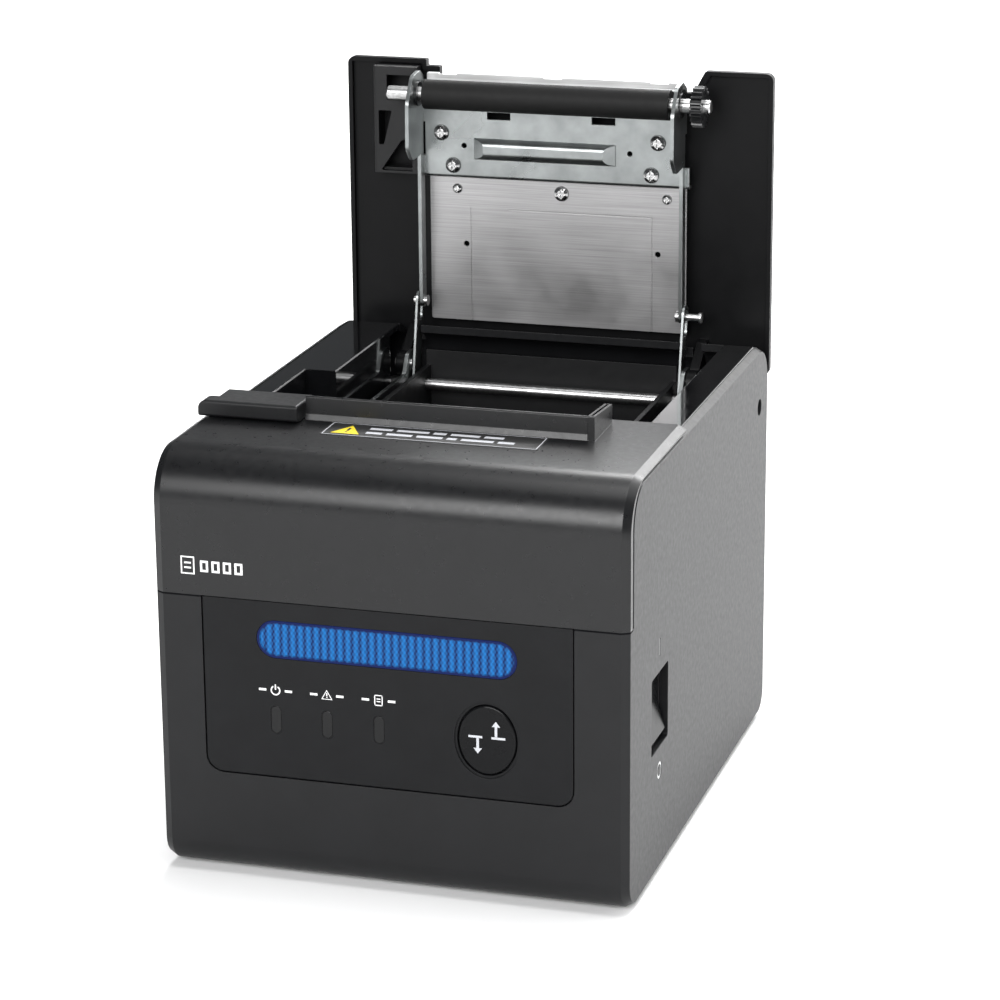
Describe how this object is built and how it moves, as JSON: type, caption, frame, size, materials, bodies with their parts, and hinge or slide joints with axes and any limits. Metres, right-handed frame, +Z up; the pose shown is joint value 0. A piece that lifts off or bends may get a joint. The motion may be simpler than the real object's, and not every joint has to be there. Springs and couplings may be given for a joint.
{
  "type": "receipt printer",
  "caption": "Desktop thermal receipt printer with its paper lid open, showing the platen roller, tear blade, stays and paper bin; front panel with light bar, windows and feed button.",
  "frame": {"origin": "on the table, under the middle of the printer with its lid open", "axes": "+X to the printer's right seen from the front, +Y to the back, +Z up"},
  "size_m": [0.145, 0.186, 0.2178],
  "materials": {
    "case_plastic": "fine spark-eroded texture, satin",
    "cover_plastic": "fine spark-eroded texture, satin",
    "gloss_black": "polished",
    "panel_plastic": "fine texture",
    "lid_plastic": "polished",
    "inner_plastic": "satin",
    "blue_lens": "translucent ribbed lens",
    "dark_lens": "smoked lens",
    "button_plastic": "polished, moulded mark",
    "label_film": "printed film with a triangle and bars",
    "rubber_black": "matt",
    "platen_rubber": "ground, matt",
    "zinc_steel": "bluish zinc plate",
    "brushed_plate": "brushed along X",
    "bright_steel": "polished",
    "screw_steel": "zinc plated",
    "blade_steel": "ground",
    "aluminium": "as extruded",
    "ceramic": "glazed ceramic",
    "gear_plastic": "acetal, satin",
    "white_acetal": "acetal, satin",
    "board_green": "solder resist",
    "component_black": "moulded",
    "motor_case": "black, pressed steel",
    "socket_metal": "tinned",
    "socket_black": "moulded"
  },
  "bodies": {
    "printer_base": {"lower_case": "case_plastic", "bottom_cover": "case_plastic", "rubber_feet": "rubber_black", "case_screws": "screw_steel", "front_top_cover": "cover_plastic", "control_panel": "panel_plastic", "light_bar_lens": "blue_lens", "indicator_windows": "dark_lens", "panel_board": "board_green", "caution_label": "label_film", "paper_bin": "inner_plastic", "left_deck": "gloss_black", "right_deck": "gloss_black", "chassis_left": "zinc_steel", "chassis_right": "zinc_steel", "chassis_base": "zinc_steel", "stay_rod": "bright_steel", "hinge_pins": "bright_steel", "lever_pin": "bright_steel", "head_springs": "bright_steel", "head_pivot_shaft": "bright_steel", "cutter_base": "inner_plastic", "cutter_cover": "inner_plastic", "cutter_motor": "motor_case", "feed_motor": "motor_case", "main_board": "board_green", "board_components": "component_black", "interface_plate": "socket_metal", "power_inlet": "socket_black", "usb_port": "socket_metal", "lan_port": "socket_metal", "cash_drawer_port": "socket_black", "power_switch_body": "inner_plastic", "near_end_sensor": "component_black"},
    "lid": {"lid_cover": "lid_plastic", "lid_inner_moulding": "inner_plastic", "lid_plate": "brushed_plate", "platen_bracket": "zinc_steel", "arm_pins": "bright_steel", "fixed_blade": "blade_steel", "lid_screws": "screw_steel", "platen_bushes": "gear_plastic"},
    "platen": {"platen_rubber": "platen_rubber", "platen_shaft": "bright_steel", "platen_gear": "gear_plastic"},
    "stay_left": {"lid_stay_left": "zinc_steel"},
    "stay_right": {"lid_stay_right": "zinc_steel"},
    "release_lever": {"release_lever": "case_plastic"},
    "latch": {"latch_hooks": "zinc_steel", "latch_shaft": "bright_steel"},
    "feed_button": {"feed_button": "button_plastic"},
    "power_rocker": {"power_rocker": "button_plastic"},
    "print_head": {"head_heatsink": "aluminium", "thermal_element": "ceramic"},
    "cutter_blade": {"moving_blade": "blade_steel"},
    "cutter_pinion": {"cutter_pinion": "white_acetal"},
    "motor_pinion": {"motor_pinion": "white_acetal"},
    "reduction_gear": {"reduction_gear": "white_acetal"}
  },
  "joints": [
    {"name": "lid_hinge", "type": "hinge", "parent": "printer_base", "child": "lid", "pos_m": [0, 0.0757, 0.117], "axis": [1, 0, 0], "range_deg": [0, 90]},
    {"name": "platen_spin", "type": "hinge", "parent": "lid", "child": "platen", "pos_m": [0, 0.077, 0.2085], "axis": [1, 0, 0], "continuous": true},
    {"name": "stay_left_swing", "type": "hinge", "parent": "printer_base", "child": "stay_left", "pos_m": [-0.0458, 0.0757, 0.1102], "axis": [1, 0, 0], "range_deg": [0, 71.1]},
    {"name": "stay_right_swing", "type": "hinge", "parent": "printer_base", "child": "stay_right", "pos_m": [0.0458, 0.0757, 0.1102], "axis": [1, 0, 0], "range_deg": [0, 71.1]},
    {"name": "release_lever_lift", "type": "hinge", "parent": "printer_base", "child": "release_lever", "pos_m": [-0.056, -0.0425, 0.1346], "axis": [-1, 0, 0], "range_deg": [0, 20], "stiffness_Nm_per_rad": 0.15},
    {"name": "latch_swing", "type": "hinge", "parent": "printer_base", "child": "latch", "pos_m": [0, -0.032, 0.1065], "axis": [1, 0, 0], "range_deg": [0, 8]},
    {"name": "feed_button_press", "type": "slide", "parent": "printer_base", "child": "feed_button", "axis": [0, 1, 0], "range_m": [0, 0.001], "stiffness_N_per_m": 600},
    {"name": "power_rocker_tilt", "type": "hinge", "parent": "printer_base", "child": "power_rocker", "pos_m": [0.066, -0.0567, 0.0527], "axis": [0, 1, 0], "range_deg": [0, 16]},
    {"name": "print_head_swing", "type": "hinge", "parent": "printer_base", "child": "print_head", "pos_m": [0, -0.025, 0.104], "axis": [1, 0, 0], "range_deg": [0, 1.5], "stiffness_Nm_per_rad": 12},
    {"name": "cutter_blade_slide", "type": "slide", "parent": "printer_base", "child": "cutter_blade", "axis": [0, 1, 0], "range_m": [0, 0.006]},
    {"name": "cutter_pinion_spin", "type": "hinge", "parent": "printer_base", "child": "cutter_pinion", "pos_m": [0.002, -0.056, 0.12], "axis": [0, 0, 1], "range_deg": [0, 57.5]},
    {"name": "reduction_gear_spin", "type": "hinge", "parent": "printer_base", "child": "reduction_gear", "pos_m": [0.051, -0.0205, 0.0996], "axis": [1, 0, 0], "continuous": true},
    {"name": "motor_pinion_spin", "type": "hinge", "parent": "printer_base", "child": "motor_pinion", "pos_m": [0.051, -0.02943, 0.08895], "axis": [1, 0, 0], "continuous": true}
  ],
  "couplings": [
    {"joint": "stay_left_swing", "follows": "lid_hinge", "ratio": 0.7844},
    {"joint": "stay_right_swing", "follows": "lid_hinge", "ratio": 0.7844},
    {"joint": "latch_swing", "follows": "release_lever_lift", "ratio": 0.4},
    {"joint": "cutter_pinion_spin", "follows": "cutter_blade_slide", "rad_per_m": 166.66},
    {"joint": "motor_pinion_spin", "follows": "reduction_gear_spin", "ratio": -3.6}
  ]
}
